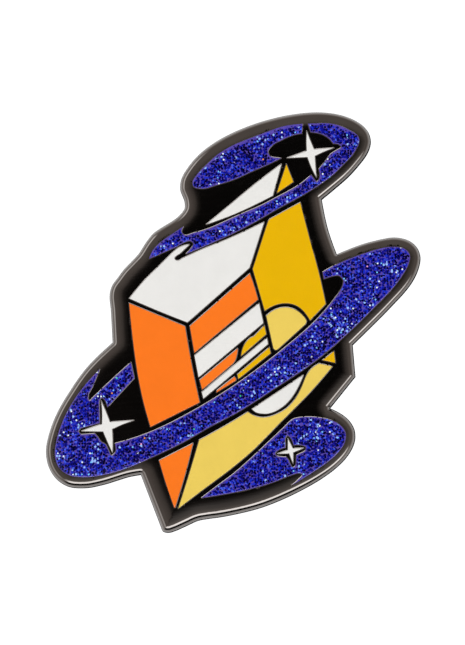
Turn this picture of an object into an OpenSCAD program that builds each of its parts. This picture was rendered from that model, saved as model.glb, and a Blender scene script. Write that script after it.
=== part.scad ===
// Hard enamel pin: plated metal base with 24 enamel cells, two soldered
// posts and two butterfly clutches. Millimetres. +Z up, +X to the wearer's
// left (right as seen from the front), the enamel face looks to -Y and the
// back face lies on Y = 0.

/* [Pin] */
// Overall height of the metal base
pin_height = 50.4; // [42:0.2:60]
// Thickness of the metal base
plate_t = 1.5; // [1.3:0.1:2.5]
// Depth of the enamel cells below the polished face
cell_depth = 0.6; // [0.3:0.05:0.7]
// Width of the rolled-over front edge
edge_w = 0.36; // [0.2:0.02:0.4]
// Height of the rolled-over front edge
edge_h = 0.4; // [0.2:0.05:0.6]
// Largest gap between a curve and its straight facets
curve_tol = 0.02; // [0.01:0.01:0.08]

/* [Posts] */
// Shaft diameter of a post
post_d = 1.1; // [0.9:0.02:1.2]
// Height of a post's tip above the back face
post_len = 8.0; // [7.5:0.1:10]
// Sideways distance of each post from the middle
post_x = 3.0; // [0:0.5:4]
// Height of each post above or below the middle
post_z = 12.0; // [8:0.5:13]
// Diameter of a post's soldered foot
foot_d = 4.0; // [3:0.1:4.2]
// Thickness of a post's soldered foot
foot_t = 0.4; // [0.3:0.05:0.45]
// Diameter of a post where it is necked for the clutch
neck_d = 0.78; // [0.6:0.02:0.8]

/* [Clutches] */
// Gap for the cloth between the back face and a clutch
cloth_gap = 2.3; // [2.2:0.1:4]
// Diameter of a clutch's disc over its rolled rim
clutch_d = 11.2; // [10.6:0.1:12.5]
// Sheet thickness of the clutch parts
sheet = 0.35; // [0.3:0.01:0.38]
// Height of a clutch without its wings
clutch_h = 5.05; // [4.9:0.05:5.6]
// Height of the gripping bumps on a disc
bump_h = 0.12; // [0.05:0.01:0.14]
// Number of gripping bumps on a disc
bump_n = 6; // [4:1:8]

/* [Hidden] */
k = pin_height / 50.4;      // the outlines below are drawn 50.4 mm high
spot_d = foot_d + 0.4;      // spot face round a foot
spot_t = 0.25;
post_r = post_d / 2;
jaw_clear = 0.07;           // jaw edge to shaft
hinge_a = 2.45;             // wing pivot, sideways from the post
hinge_u = 1.25;             // wing pivot, above the disc's front
pivot_r = 0.28;
pivot_clear = 0.05;
wall_in = 1.95;             // inner face of the cover's side walls
jaw_u1 = 2.5;               // lower jaw
jaw_u2 = 3.65;              // upper jaw
jaw_t = 0.3;

metal_c = [0.17, 0.15, 0.14];
glitter_c = [0.16, 0.14, 0.62];
white_c = [0.92, 0.91, 0.90];
orange_c = [0.99, 0.48, 0.13];
gold_c = [0.91, 0.70, 0.0];
cream_c = [0.92, 0.80, 0.37];
solder_c = [0.62, 0.62, 0.60];
nickel_c = [0.80, 0.79, 0.76];
spring_c = [0.72, 0.72, 0.72];

// ---------------------------------------------------------------- outlines
// [x, z] is a corner and [x, z, 1] is a point that a curve runs through.
// Two corners in a row are joined by a straight line.
plate_pts = [
  [-8.95, -25.5], [-8.72, -25.95, 1], [-8.3, -26.1, 1], [-6.8, -25.72, 1],
  [-4.5, -24.68, 1], [-2, -24.28, 1], [0.5, -23.8, 1], [3, -23.15, 1],
  [5.5, -22.2, 1], [8, -21.0, 1], [10.5, -19.55, 1], [12.5, -18.0, 1],
  [13.7, -16.6, 1], [14.35, -15.1, 1], [14.3, -13.8, 1], [13.6, -12.6, 1],
  [12.6, -11.8, 1], [11.4, -11.2], [14.42, -7.45], [14.1, -3.65],
  [16.6, -1.2, 1], [19.3, 1.55, 1], [21.2, 3.8, 1], [22.05, 5.6, 1],
  [22.25, 6.9, 1], [21.9, 8.0, 1], [21.1, 8.8, 1], [19.4, 9.32, 1],
  [17, 9.0, 1], [12.2, 7.35], [11.2, 10.2, 1], [10.42, 13.9],
  [12, 15.2, 1], [13.5, 16.5, 1], [15, 18.15, 1], [16.05, 19.7, 1],
  [16.33, 20.8, 1], [16.05, 22.0, 1], [15.3, 22.9, 1], [13.85, 23.76, 1],
  [12, 24.31, 1], [10, 24.51, 1], [7.5, 24.36, 1], [3.92, 23.65, 1],
  [0.4, 22.44, 1], [-2.35, 21.04, 1], [-4.4, 19.5, 1], [-5.8, 17.87, 1],
  [-6.61, 16.35, 1], [-6.66, 15.08, 1], [-6.2, 13.88, 1], [-6.15, 13.02, 1],
  [-6.76, 12.15, 1], [-8.36, 11.02, 1], [-9.9, 10.0, 1], [-10.84, 8.86, 1],
  [-11.63, 7.61, 1], [-13.53, 5.57, 1], [-14.95, 3.6], [-15.15, 3.0, 1],
  [-15.05, 0.5, 1], [-14.85, -3.2], [-16.5, -4.7, 1], [-18, -6.25, 1],
  [-20, -9.05, 1], [-21.5, -11.6, 1], [-22.45, -14, 1], [-22.88, -16.4, 1],
  [-22.55, -18.15, 1], [-21.6, -19.65, 1], [-20.2, -20.55, 1],
  [-18.3, -20.76, 1], [-15.5, -20.25, 1], [-12.8, -19.42, 1], [-11.4, -19.17]];

glitter_upper_left_pts = [
  [8.15, 22.97], [8.05, 21.83], [6.95, 21.6, 1], [5.5, 20.97, 1],
  [4.5, 20.4, 1], [4.0, 19.65, 1], [4.2, 19.12, 1], [4.9, 18.9, 1],
  [5.55, 18.84], [4.0, 18.1, 1], [2, 17.24, 1], [0, 16.35, 1],
  [-2, 15.72, 1], [-4.2, 15.25, 1], [-4.95, 15.48, 1], [-5.1, 16.0, 1],
  [-4.7, 16.75, 1], [-3.43, 18.1, 1], [-2, 19.39, 1], [0, 20.54, 1],
  [2, 21.33, 1], [4, 22.09, 1], [6, 22.73, 1]];

glitter_upper_band_pts = [
  [8.8, 23.0], [10.3, 23.03, 1], [11.6, 22.97, 1], [12.9, 22.6, 1],
  [14, 22.04, 1], [14.75, 21.53, 1], [14.95, 21.0, 1], [14.75, 20.2, 1],
  [14, 19.04, 1], [13, 18.0, 1], [12, 17.0, 1], [10, 15.5, 1],
  [8, 14.29, 1], [5, 12.66, 1], [3, 11.5, 1], [0, 9.92, 1], [-3, 8.57, 1],
  [-5.85, 7.37], [-5.25, 8.05, 1], [-4.97, 8.6, 1], [-5.35, 8.92, 1],
  [-6.1, 8.75, 1], [-7.2, 8.15, 1], [-8.6, 7.55, 1], [-10.33, 6.8],
  [-9.95, 7.7, 1], [-9.1, 8.66, 1], [-8, 9.47, 1], [-6.22, 10.66],
  [-6.43, 10.0, 1], [-6.05, 9.63, 1], [-5, 9.86, 1], [-3, 10.46, 1],
  [-1, 11.33, 1], [1, 12.23, 1], [3, 13.07, 1], [5, 14.1, 1], [8, 15.8, 1],
  [9.17, 16.78], [9.55, 16.26, 1], [9.87, 15.97, 1], [10.13, 16.3, 1],
  [10.12, 17.5], [11.0, 18.58, 1], [11.5, 19.26, 1], [12.2, 19.72, 1],
  [12.8, 20.15, 1], [12.5, 20.48, 1], [11.85, 20.56], [11.4, 21.12, 1],
  [10.6, 21.66, 1], [9.14, 21.97]];

glitter_middle_ring_pts = [
  [10.57, 5.1], [12, 5.9, 1], [14, 6.77, 1], [16, 7.47, 1], [18, 8.0, 1],
  [19.4, 8.07, 1], [20.4, 7.82, 1], [20.97, 7.15, 1], [20.85, 6.15, 1],
  [20.1, 4.7, 1], [18.7, 2.87, 1], [17, 1.12, 1], [13, -2.76, 1],
  [9, -6.05, 1], [5, -8.7, 1], [0, -11.87, 1], [-3, -13.42, 1],
  [-6, -15.15, 1], [-10, -17.08, 1], [-13, -18.37, 1], [-16, -19.2, 1],
  [-18.2, -19.43, 1], [-20, -19.15, 1], [-21.2, -18.2, 1], [-21.63, -16.9, 1],
  [-21.45, -15.0, 1], [-20.93, -13.25, 1], [-20, -11.24, 1], [-18.5, -8.97, 1],
  [-17.4, -7.65, 1], [-16.28, -6.5], [-17.1, -8.5, 1], [-17.66, -9.95, 1],
  [-17.5, -10.28, 1], [-17.15, -9.98], [-15, -7.94, 1], [-12.5, -5.68],
  [-12.1, -7.55], [-15.3, -11.0], [-15.7, -10.12, 1], [-16.02, -9.88, 1],
  [-16.27, -10.2, 1], [-16.32, -10.7], [-16.27, -12.93], [-18.5, -13.55], [-18.82, -13.95, 1],
  [-18.4, -14.33], [-16.85, -14.22], [-16.5, -14.6, 1], [-16.1, -15.17, 1],
  [-15.55, -15.52, 1], [-15.2, -16.2, 1], [-14.8, -16.85, 1], [-14.45, -16.6, 1],
  [-14.38, -15.4], [-13, -15.03, 1], [-10, -13.98, 1], [-6, -12.05, 1],
  [-3, -10.34, 1], [0, -8.45, 1], [3, -6.31, 1], [6, -3.96, 1],
  [10, -0.42, 1], [12, 1.95, 1], [12.85, 3.25, 1], [13.02, 4.1, 1],
  [12.5, 4.66, 1], [11.5, 4.55, 1], [10.7, 4.3]];

glitter_lower_pts = [
  [-3.98, -21.92], [-2, -20.43, 1], [0, -18.93, 1], [2, -17.17, 1],
  [4, -15.3, 1], [6, -13.42, 1], [6.95, -12.55, 1], [8.1, -12.3, 1],
  [10, -12.35, 1], [11.5, -12.66, 1], [12.6, -13.25, 1], [13.25, -14.2, 1],
  [13.2, -15.15, 1], [12.6, -16.22, 1], [11.3, -17.5, 1], [9.5, -18.76, 1],
  [6.78, -20.44], [7.75, -19.62, 1], [8.08, -19.18, 1], [7.75, -18.98, 1],
  [7, -19.14, 1], [5, -19.9, 1], [3, -20.56, 1], [0, -21.25, 1]];

white_upper_pts = [
  [5.6, 18.12], [4.55, 14.32], [2, 13.05, 1], [-0.5, 11.95, 1],
  [-3.43, 10.9], [-0.5, 13.3, 1], [2.9, 16.1, 1]];

gold_small_top_pts = [[6.2, 18.1], [7.03, 15.97], [5.06, 14.65]];

white_big_pts = [
  [-12.7, 2.02], [-11, 4.05, 1], [-9, 6.03, 1], [-7.6, 7.42, 1],
  [-6.8, 8.06, 1], [-6.1, 8.37, 1], [-5.48, 8.48], [-6.6, 7.42],
  [-7.26, 6.77, 1], [-6.98, 6.55, 1], [-6.3, 6.82], [-4, 7.86, 1],
  [-1, 9.05, 1], [3.5, 11.13], [2.57, 8.2, 1], [1.75, 5.65],
  [-5.7, -0.88], [-8, 0.02, 1]];

orange_side_pts = [
  [-12.73, 1.45], [-6.0, -1.36], [-5.23, -5.8, 1], [-4.24, -10.5],
  [-10.13, -13.42], [-11.0, -10.35, 1], [-11.6, -7.5, 1], [-12.2, -3.5, 1]];

gold_side_pts = [
  [7.86, 13.48], [9, 9.0, 1], [10, 5.3, 1], [10.9, 1.28], [9.02, -0.68],
  [8.5, 0.12, 1], [7.5, 1.03, 1], [6.2, 1.37, 1], [4.9, 1.18, 1],
  [3.59, 0.48], [2.15, 5.5], [3.95, 11.1], [4.3, 11.55]];

orange_stripe_1_pts = [
  [1.8, 4.94], [2.28, 3.55, 1], [2.77, 1.84], [-4.87, -4.54], [-5.41, -1.34]];

white_stripe_1_pts = [[2.9, 1.36], [3.42, -0.98], [-4.36, -7.48], [-4.85, -4.9]];

orange_stripe_2_pts = [
  [0.34, -4.04], [0.2, -4.95, 1], [-0.03, -5.56, 1], [-0.4, -5.98],
  [-3.93, -8.96], [-4.23, -7.83]];

gold_stripe_upper_pts = [
  [3.53, -1.3], [3.76, -2.32], [0.75, -4.94], [0.92, -4.1, 1],
  [1.3, -3.35, 1], [1.9, -2.76, 1], [2.36, -2.53]];

white_stripe_2_pts = [[3.85, -2.82], [3.98, -3.52], [-3.78, -10.04], [-3.96, -9.3]];

gold_stripe_lower_pts = [[4.13, -3.92], [4.29, -4.62], [0.42, -7.69], [0.31, -7.18]];

orange_stripe_3_pts = [
  [-0.06, -7.44], [0.11, -7.66], [0.04, -7.93], [-2.2, -9.3], [-2.12, -9.05]];

cream_half_disc_pts = [
  [3.77, -0.13], [4.5, 0.43, 1], [5.4, 0.8, 1], [6.3, 0.86, 1],
  [7.4, 0.5, 1], [8.2, -0.18, 1], [8.58, -0.83, 1], [8.42, -1.18],
  [5.17, -4.12], [4.87, -4.23, 1], [4.62, -4.0]];

white_crescent_pts = [
  [8.2, -7.28], [7.68, -8.46, 1], [7, -9.65, 1], [6, -10.81, 1],
  [5, -11.5, 1], [4, -11.84, 1], [3.1, -11.84, 1], [2.5, -11.68, 1],
  [2.08, -11.33], [5, -9.4, 1]];

cream_bottom_pts = [
  [-4.28, -15.02], [-1, -13.22, 1], [1.57, -11.66], [2.3, -12.1, 1],
  [3.5, -12.33, 1], [5, -11.93, 1], [6.5, -10.98, 1], [7.5, -9.7, 1],
  [8.15, -8.35, 1], [8.62, -7.25, 1], [9.05, -6.65], [10.08, -5.88],
  [11.67, -6.23], [9.05, -9.27, 1], [7.1, -11.27, 1], [5.08, -13.28, 1],
  [2.05, -16.33, 1], [-1, -18.85, 1], [-4, -21.07, 1], [-6.79, -23.2], [-5.45, -18.97, 1]];

gold_right_tip_pts = [[11.87, -4.42], [12.03, -5.8], [10.54, -5.47]];

orange_tip_pts = [
  [-9.08, -17.45], [-5.04, -15.4], [-5.96, -19.05, 1], [-7.16, -23.05],
  [-7.28, -23.05], [-8.5, -19.45, 1]];

star_1_pts = [
  [8.65, 22.08], [9.1, 20.9, 1], [9.53, 19.88], [11.9, 20.04],
  [10.6, 19.55, 1], [9.62, 19.08], [9.68, 17.9, 1], [9.82, 16.5],
  [9.3, 17.5, 1], [8.74, 18.96], [6.3, 18.86], [7.5, 19.28, 1],
  [8.65, 19.7], [8.62, 20.9, 1]];

star_2_pts = [
  [-16.06, -10.32], [-15.55, -11.5, 1], [-15.02, -12.84], [-12.15, -12.64],
  [-13.6, -13.15, 1], [-14.76, -13.68], [-14.7, -15.0, 1], [-14.71, -16.5],
  [-15.3, -15.2, 1], [-15.83, -13.96], [-18.42, -13.92], [-17.1, -13.45, 1],
  [-15.97, -13.08], [-15.95, -11.7, 1]];

star_3_pts = [
  [6.36, -14.86], [6.95, -16.03], [8.24, -16.0], [6.98, -16.5],
  [6.97, -17.84], [6.5, -16.62], [5.12, -16.67], [6.35, -16.22]];

// wall of metal that stands round the third star
star_3_wall_pts = [
  [6.32, -14.47, 1], [6.7, -14.8, 1], [7.05, -15.62], [8.1, -15.66, 1],
  [8.5, -15.85, 1], [8.45, -16.27, 1], [7.9, -16.6, 1], [7.38, -16.85],
  [7.33, -17.6, 1], [7.24, -18.1, 1], [6.97, -18.32, 1], [6.7, -18.06, 1],
  [6.4, -17.4, 1], [6.12, -17.05], [5.4, -17.02, 1], [4.96, -16.88, 1],
  [4.82, -16.6, 1], [5.05, -16.33, 1], [6.02, -15.93], [6.03, -15.4, 1],
  [6.03, -14.8, 1]];

// a smooth point's direction, weighted towards its nearer neighbour
function at(p) = [p[0], p[1]] * k;
function smooth(p) = len(p) == 3;
function dir(p, i) = let (n = len(p), a = at(p[(i + n - 1) % n]), b = at(p[i]),
    c = at(p[(i + 1) % n]), d = norm(b - a), e = norm(c - b))
  ((b - a) / d * e + (c - b) / e * d) / (d + e);
function angle(u, v) = acos(max(-1, min(1, u * v / norm(u) / norm(v))));
function bend(a, b, u, v, s) = a * (2 * s * s * s - 3 * s * s + 1)
  + u * (s * s * s - 2 * s * s + s) + b * (3 * s * s - 2 * s * s * s)
  + v * (s * s * s - s * s);
function run(p, i) = let (n = len(p), j = (i + 1) % n, a = at(p[i]), b = at(p[j]))
  !smooth(p[i]) && !smooth(p[j]) ? [a] :
  let (d = norm(b - a), ch = (b - a) / d,
    u = smooth(p[i]) ? dir(p, i) : (3 * ch - dir(p, j)) / 2,
    v = smooth(p[j]) ? dir(p, j) : (3 * ch - dir(p, i)) / 2,
    turn = (angle(u, ch) + angle(ch, v)) * PI / 180,
    m = max(1, ceil(sqrt(d * turn / (8 * curve_tol)))))
  [for (q = [0 : m - 1]) bend(a, b, u * d, v * d, q / m)];
function outline(p) = [for (i = [0 : len(p) - 1]) each run(p, i)];

// a flat shape in X and Z, from the back plane y0 forward by h
module slab(y0, h) translate([0, y0, 0]) rotate([90, 0, 0]) linear_extrude(h) children();
module shape(p) polygon(outline(p));
module cell(p) slab(-plate_t + cell_depth, cell_depth) shape(p);

// ------------------------------------------------------------------- metal
cells = [glitter_upper_left_pts, glitter_upper_band_pts, glitter_middle_ring_pts,
  white_upper_pts, gold_small_top_pts, white_big_pts, orange_side_pts,
  gold_side_pts, orange_stripe_1_pts, white_stripe_1_pts, orange_stripe_2_pts,
  gold_stripe_upper_pts, white_stripe_2_pts, gold_stripe_lower_pts,
  orange_stripe_3_pts, cream_half_disc_pts, white_crescent_pts,
  cream_bottom_pts, gold_right_tip_pts, orange_tip_pts, star_1_pts,
  star_2_pts, star_3_pts];

module glitter_lower_shape() difference() {
  shape(glitter_lower_pts);
  shape(star_3_wall_pts);
}

module metal_base() color(metal_c) difference() {
  union() {
    slab(0, plate_t - edge_h) shape(plate_pts);
    slab(0, plate_t - edge_h * 0.4) offset(delta = -edge_w * 0.36) shape(plate_pts);
    slab(0, plate_t) offset(delta = -edge_w) shape(plate_pts);
  }
  for (p = cells) slab(-plate_t + cell_depth, cell_depth + 1) shape(p);
  slab(-plate_t + cell_depth, cell_depth + 1) glitter_lower_shape();
  for (s = [1, -1]) on_post(s) cylinder(d = spot_d, h = 2 * spot_t, center = true, $fn = 48);
}

// ------------------------------------------------------------------ enamel
module glitter_upper_left() color(glitter_c) cell(glitter_upper_left_pts);
module glitter_upper_band() color(glitter_c) cell(glitter_upper_band_pts);
module glitter_middle_ring() color(glitter_c) cell(glitter_middle_ring_pts);
module glitter_lower() color(glitter_c)
  slab(-plate_t + cell_depth, cell_depth) glitter_lower_shape();
module white_upper() color(white_c) cell(white_upper_pts);
module white_big() color(white_c) cell(white_big_pts);
module white_stripe_1() color(white_c) cell(white_stripe_1_pts);
module white_stripe_2() color(white_c) cell(white_stripe_2_pts);
module white_crescent() color(white_c) cell(white_crescent_pts);
module star_1() color(white_c) cell(star_1_pts);
module star_2() color(white_c) cell(star_2_pts);
module star_3() color(white_c) cell(star_3_pts);
module gold_small_top() color(gold_c) cell(gold_small_top_pts);
module gold_side() color(gold_c) cell(gold_side_pts);
module gold_stripe_upper() color(gold_c) cell(gold_stripe_upper_pts);
module gold_stripe_lower() color(gold_c) cell(gold_stripe_lower_pts);
module gold_right_tip() color(gold_c) cell(gold_right_tip_pts);
module cream_half_disc() color(cream_c) cell(cream_half_disc_pts);
module cream_bottom() color(cream_c) cell(cream_bottom_pts);
module orange_side() color(orange_c) cell(orange_side_pts);
module orange_stripe_1() color(orange_c) cell(orange_stripe_1_pts);
module orange_stripe_2() color(orange_c) cell(orange_stripe_2_pts);
module orange_stripe_3() color(orange_c) cell(orange_stripe_3_pts);
module orange_tip() color(orange_c) cell(orange_tip_pts);

// ------------------------------------------------------------------- posts
// Local frame of a post or clutch: +Z is outward from the back face.
// Side 1 is the upper post and side -1 the lower one.
module on_post(s) translate([s * post_x, 0, s * post_z]) rotate([-90, 0, 0]) children();

foot_top = foot_t - spot_t;
neck_1 = 2.45;              // the plain shaft ends here
neck_2 = 4.6;
neck_h = 0.65;

// foot, shaft with two necks, and a pointed tip
module post(s) on_post(s) rotate_extrude($fn = 48) polygon([
  [0, -spot_t], [foot_d / 2, -spot_t], [foot_d / 2, foot_top], [post_r, foot_top],
  [post_r, neck_1], [neck_d / 2, neck_1 + 0.12], [neck_d / 2, neck_1 + neck_h - 0.12],
  [post_r, neck_1 + neck_h], [post_r, neck_2], [neck_d / 2, neck_2 + 0.12],
  [neck_d / 2, neck_2 + neck_h - 0.12], [post_r, neck_2 + neck_h],
  [post_r, post_len - 1.1], [0.2, post_len - 0.12], [0.08, post_len], [0, post_len]]);
module upper_post() color(metal_c) post(1);
module lower_post() color(metal_c) post(-1);

// ring of solder that fills the spot face round a foot
module solder(s) on_post(s) rotate_extrude($fn = 48) polygon([
  [foot_d / 2, -spot_t], [spot_d / 2 - 0.01, -spot_t], [spot_d / 2 - 0.01, -0.02],
  [foot_d / 2 + 0.06, foot_top * 0.8], [foot_d / 2, foot_top * 0.9]]);
module upper_solder_ring() color(solder_c) solder(1);
module lower_solder_ring() color(solder_c) solder(-1);

// ---------------------------------------------------------------- clutches
module on_clutch(s) on_post(s) translate([0, 0, cloth_gap]) children();

// Disc with a centre collar, a rolled rim and bumps that bite into the cloth
rim_r = 0.4;
module clutch_disc(s) on_clutch(s) {
  rotate_extrude($fn = 64) polygon([
    [0.95, 0], [clutch_d / 2 - rim_r, 0], [clutch_d / 2 - rim_r, sheet],
    [1.3, sheet], [1.3, 1.15], [0.95, 1.15]]);
  rotate_extrude($fn = 64) translate([clutch_d / 2 - rim_r, rim_r]) circle(rim_r, $fn = 20);
  for (i = [0 : bump_n - 1]) rotate([0, 0, 360 / bump_n * (i + 0.5)])
    translate([3.6, 0, -bump_h]) cylinder(r1 = 0.22, r2 = 0.45, h = bump_h + 0.1, $fn = 20);
}
module upper_clutch_disc() color(nickel_c) clutch_disc(1);
module lower_clutch_disc() color(nickel_c) clutch_disc(-1);

// Folded cover: two side walls with feet, and a top with a hole for the post
wall_out = wall_in + sheet;
module clutch_cover(s) on_clutch(s) difference() {
  union() {
    for (m = [0, 1]) mirror([0, m, 0]) {
      translate([-2.85, wall_in, sheet]) cube([5.7, sheet, clutch_h - sheet]);
      translate([-2.2, wall_in, sheet]) cube([4.4, 1.75, sheet]);
    }
    translate([-2.0, -wall_out, clutch_h - sheet]) cube([4.0, 2 * wall_out, sheet]);
  }
  translate([0, 0, clutch_h - 2 * sheet]) cylinder(r = 1.15, h = 3 * sheet, $fn = 40);
  for (a = [-hinge_a, hinge_a]) translate([a, 0, hinge_u]) rotate([90, 0, 0])
    cylinder(r = pivot_r + pivot_clear, h = 2 * wall_out + 1, center = true, $fn = 32);
  for (a = [-1, 1]) translate([a * 3.25, 0, clutch_h + 0.35]) rotate([90, 0, 0])
    cylinder(r = 1.6, h = 2 * wall_out + 1, center = true, $fn = 48);
}
module upper_clutch_cover() color(nickel_c) clutch_cover(1);
module lower_clutch_cover() color(nickel_c) clutch_cover(-1);

// Flat shape in the sideways and outward directions, w wide and centred
module rib(w) rotate([90, 0, 0]) translate([0, 0, -w / 2]) linear_extrude(w) children();

// One half of the spring strip: finger tab, pivot, riser and slotted jaw.
// side -1 is the left half with the lower jaw, side 1 the right half.
module wing(s, side) on_clutch(s) mirror([side > 0 ? 1 : 0, 0, 0]) {
  ju = side > 0 ? jaw_u2 : jaw_u1;
  difference() {
    union() {
      translate([-hinge_a, 0, hinge_u]) rotate([90, 0, 0]) {
        cylinder(r = 0.42, h = 2 * wall_in - 0.1, center = true, $fn = 32);
        cylinder(r = pivot_r, h = 2 * wall_out - 0.04, center = true, $fn = 32);
      }
      rib(2 * wall_in - 0.2) polygon([
        [-hinge_a - 0.15, hinge_u], [-hinge_a + 0.15, hinge_u],
        [-hinge_a + 0.15, ju + jaw_t], [-hinge_a - 0.15, ju + jaw_t]]);
      rib(2 * wall_in - 0.9) polygon([
        [-hinge_a - 0.15, ju], [1.35, ju], [1.35, ju + jaw_t], [-hinge_a - 0.15, ju + jaw_t]]);
      rib(2 * wall_in - 0.2) polygon([
        [-hinge_a, hinge_u - 0.3], [-hinge_a, hinge_u + 0.05], [-3.3, 2.05], [-3.62, 1.9]]);
    }
    translate([0, 0, ju - 1]) {
      cylinder(r = post_r + jaw_clear, h = 2 + jaw_t, $fn = 32);
      translate([-1.15, 0, 0]) cylinder(r = post_r + jaw_clear, h = 2 + jaw_t, $fn = 32);
      translate([-1.15, -post_r - jaw_clear, 0]) cube([1.15, post_d + 2 * jaw_clear, 2 + jaw_t]);
    }
  }
  intersection() {
    rib(5.0) polygon([
      [-3.62, 1.9], [-3.3, 2.05], [-4.42, 4.6], [-4.85, 4.95], [-5.0, 4.65], [-4.72, 4.45]]);
    translate([-3.2, 0, 3.15]) rotate([0, -90, 0]) cylinder(r = 2.35, h = 2.4, $fn = 48);
  }
}
module upper_clutch_left_wing() color(spring_c) wing(1, -1);
module upper_clutch_right_wing() color(spring_c) wing(1, 1);
module lower_clutch_left_wing() color(spring_c) wing(-1, -1);
module lower_clutch_right_wing() color(spring_c) wing(-1, 1);

metal_base();
glitter_upper_left();
glitter_upper_band();
glitter_middle_ring();
glitter_lower();
white_upper();
white_big();
white_stripe_1();
white_stripe_2();
white_crescent();
star_1();
star_2();
star_3();
gold_small_top();
gold_side();
gold_stripe_upper();
gold_stripe_lower();
gold_right_tip();
cream_half_disc();
cream_bottom();
orange_side();
orange_stripe_1();
orange_stripe_2();
orange_stripe_3();
orange_tip();
upper_post();
lower_post();
upper_solder_ring();
lower_solder_ring();
upper_clutch_disc();
upper_clutch_cover();
upper_clutch_left_wing();
upper_clutch_right_wing();
lower_clutch_disc();
lower_clutch_cover();
lower_clutch_left_wing();
lower_clutch_right_wing();
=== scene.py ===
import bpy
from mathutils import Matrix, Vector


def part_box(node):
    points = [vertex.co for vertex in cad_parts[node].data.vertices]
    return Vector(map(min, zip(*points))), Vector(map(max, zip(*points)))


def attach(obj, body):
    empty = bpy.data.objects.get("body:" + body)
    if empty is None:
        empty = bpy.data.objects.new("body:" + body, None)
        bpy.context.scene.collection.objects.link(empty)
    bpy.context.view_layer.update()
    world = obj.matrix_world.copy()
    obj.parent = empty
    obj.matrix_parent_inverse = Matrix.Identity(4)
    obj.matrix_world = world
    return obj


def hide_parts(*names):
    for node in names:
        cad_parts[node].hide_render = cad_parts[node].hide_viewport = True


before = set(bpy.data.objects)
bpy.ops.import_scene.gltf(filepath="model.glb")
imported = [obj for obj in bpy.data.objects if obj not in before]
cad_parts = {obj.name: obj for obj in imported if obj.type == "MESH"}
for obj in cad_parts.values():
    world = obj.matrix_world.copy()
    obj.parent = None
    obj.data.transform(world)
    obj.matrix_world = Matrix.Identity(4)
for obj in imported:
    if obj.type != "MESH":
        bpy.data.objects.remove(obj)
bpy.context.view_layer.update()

# An enamel pin: a polished black nickel base, 24 cells of hard enamel, two posts and two butterfly
# clutches. Work in the plane of the face is in millimetres: u runs along X and v along Z. "Depth" is
# the distance in front of the back face, so a point of the face is at (u, -depth, v).
import math

import bmesh
import bpy
import numpy as np
from mathutils import Vector, kdtree
from mathutils.geometry import delaunay_2d_cdt

MM = 0.001
PLATE_T = -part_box("metal_base")[0].y / MM
CELL_DEPTH = -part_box("white_big")[1].y / MM
SPOT_DEPTH = -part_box("upper_post")[0].y / MM
GLITTER = ["glitter_upper_left", "glitter_upper_band", "glitter_middle_ring", "glitter_lower"]
WHITE = ["white_upper", "white_big", "white_stripe_1", "white_stripe_2", "white_crescent",
         "star_1", "star_2", "star_3"]
GOLD = ["gold_small_top", "gold_side", "gold_stripe_upper", "gold_stripe_lower", "gold_right_tip"]
CREAM = ["cream_half_disc", "cream_bottom"]
ORANGE = ["orange_side", "orange_stripe_1", "orange_stripe_2", "orange_stripe_3", "orange_tip"]
CELLS = GLITTER + WHITE + GOLD + CREAM + ORANGE


# ------------------------------------------------------------------ outlines
def node_points(node):
    """A CAD node's corners and triangles, in millimetres."""
    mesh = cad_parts[node].data
    mesh.calc_loop_triangles()
    co = np.empty(len(mesh.vertices) * 3)
    mesh.vertices.foreach_get("co", co)
    tri = np.empty(len(mesh.loop_triangles) * 3, int)
    mesh.loop_triangles.foreach_get("vertices", tri)
    return co.reshape(-1, 3) / MM, tri.reshape(-1, 3)


def flat_loops(node, depth):
    """The closed outlines of a node's flat face at this depth, largest first, as arrays of (u, v)."""
    co, tri = node_points(node)
    on = abs(co[:, 1] + depth) < 1e-3
    names = [tuple(p) for p in np.round(co[:, [0, 2]], 4)]
    steps = set()
    for t in tri:
        if on[t].all():
            steps.update((names[t[i]], names[t[i - 2]]) for i in range(3))
    follow = {a: b for a, b in steps if (b, a) not in steps}
    loops = []
    while follow:
        start, p = follow.popitem()
        loop = [start]
        while p != start:
            loop.append(p)
            p = follow.pop(p)
        loops.append(np.array(loop))
    for i, loop in enumerate(loops):
        if area(loop) < 0:
            loops[i] = loop[::-1]
    return sorted(loops, key=area, reverse=True)


def area(loop):
    x, y = loop.T
    return 0.5 * float(x @ np.roll(y, -1) - y @ np.roll(x, -1))


def unit(v):
    return v / np.maximum(np.linalg.norm(v, axis=-1, keepdims=True), 1e-12)


def between(a, b):
    """The angle from direction a to direction b, in radians, positive to the left."""
    return np.arctan2(a[..., 0] * b[..., 1] - a[..., 1] * b[..., 0], (a * b).sum(-1))


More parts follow.
